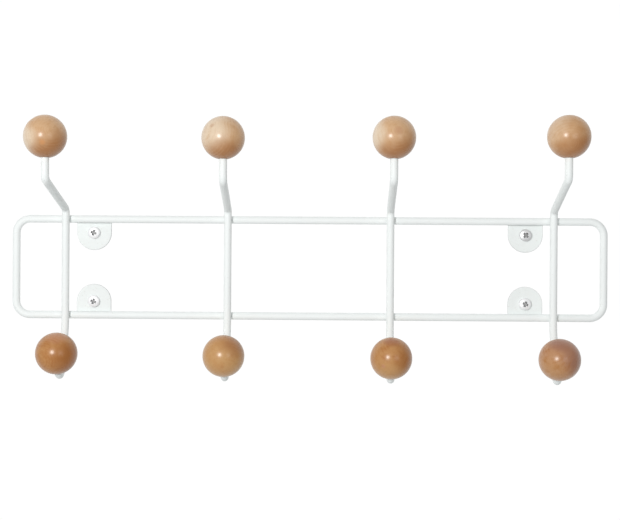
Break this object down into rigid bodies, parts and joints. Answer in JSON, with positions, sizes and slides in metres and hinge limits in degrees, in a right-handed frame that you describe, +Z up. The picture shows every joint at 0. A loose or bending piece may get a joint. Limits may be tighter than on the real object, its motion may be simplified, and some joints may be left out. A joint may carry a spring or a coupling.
{
  "type": "wall coat rack",
  "caption": "Wall-mounted wire coat rack with bent double hooks, wooden ball ends and screw tabs.",
  "frame": {"origin": "in the plane of the wall, at the centre of the four wall screws", "axes": "+Y into the wall, +X to the right along it, +Z up"},
  "size_m": [0.5144, 0.1384, 0.2213],
  "materials": {
    "coated_wire": "fine satin white powder coating on steel",
    "turned_wood": "turned pale hardwood under glossy clear lacquer",
    "plated_screw": "bright zinc plate"
  },
  "bodies": {
    "root": {"frame_loop": "coated_wire", "hook_wire_1": "coated_wire", "hook_wire_2": "coated_wire", "hook_wire_3": "coated_wire", "hook_wire_4": "coated_wire", "upper_ball_1": "turned_wood", "upper_ball_2": "turned_wood", "upper_ball_3": "turned_wood", "upper_ball_4": "turned_wood", "lower_ball_1": "turned_wood", "lower_ball_2": "turned_wood", "lower_ball_3": "turned_wood", "lower_ball_4": "turned_wood", "mounting_tab_upper_left": "coated_wire", "mounting_tab_upper_right": "coated_wire", "mounting_tab_lower_left": "coated_wire", "mounting_tab_lower_right": "coated_wire", "wall_screw_upper_left": "plated_screw", "wall_screw_upper_right": "plated_screw", "wall_screw_lower_left": "plated_screw", "wall_screw_lower_right": "plated_screw"}
  },
  "joints": []
}
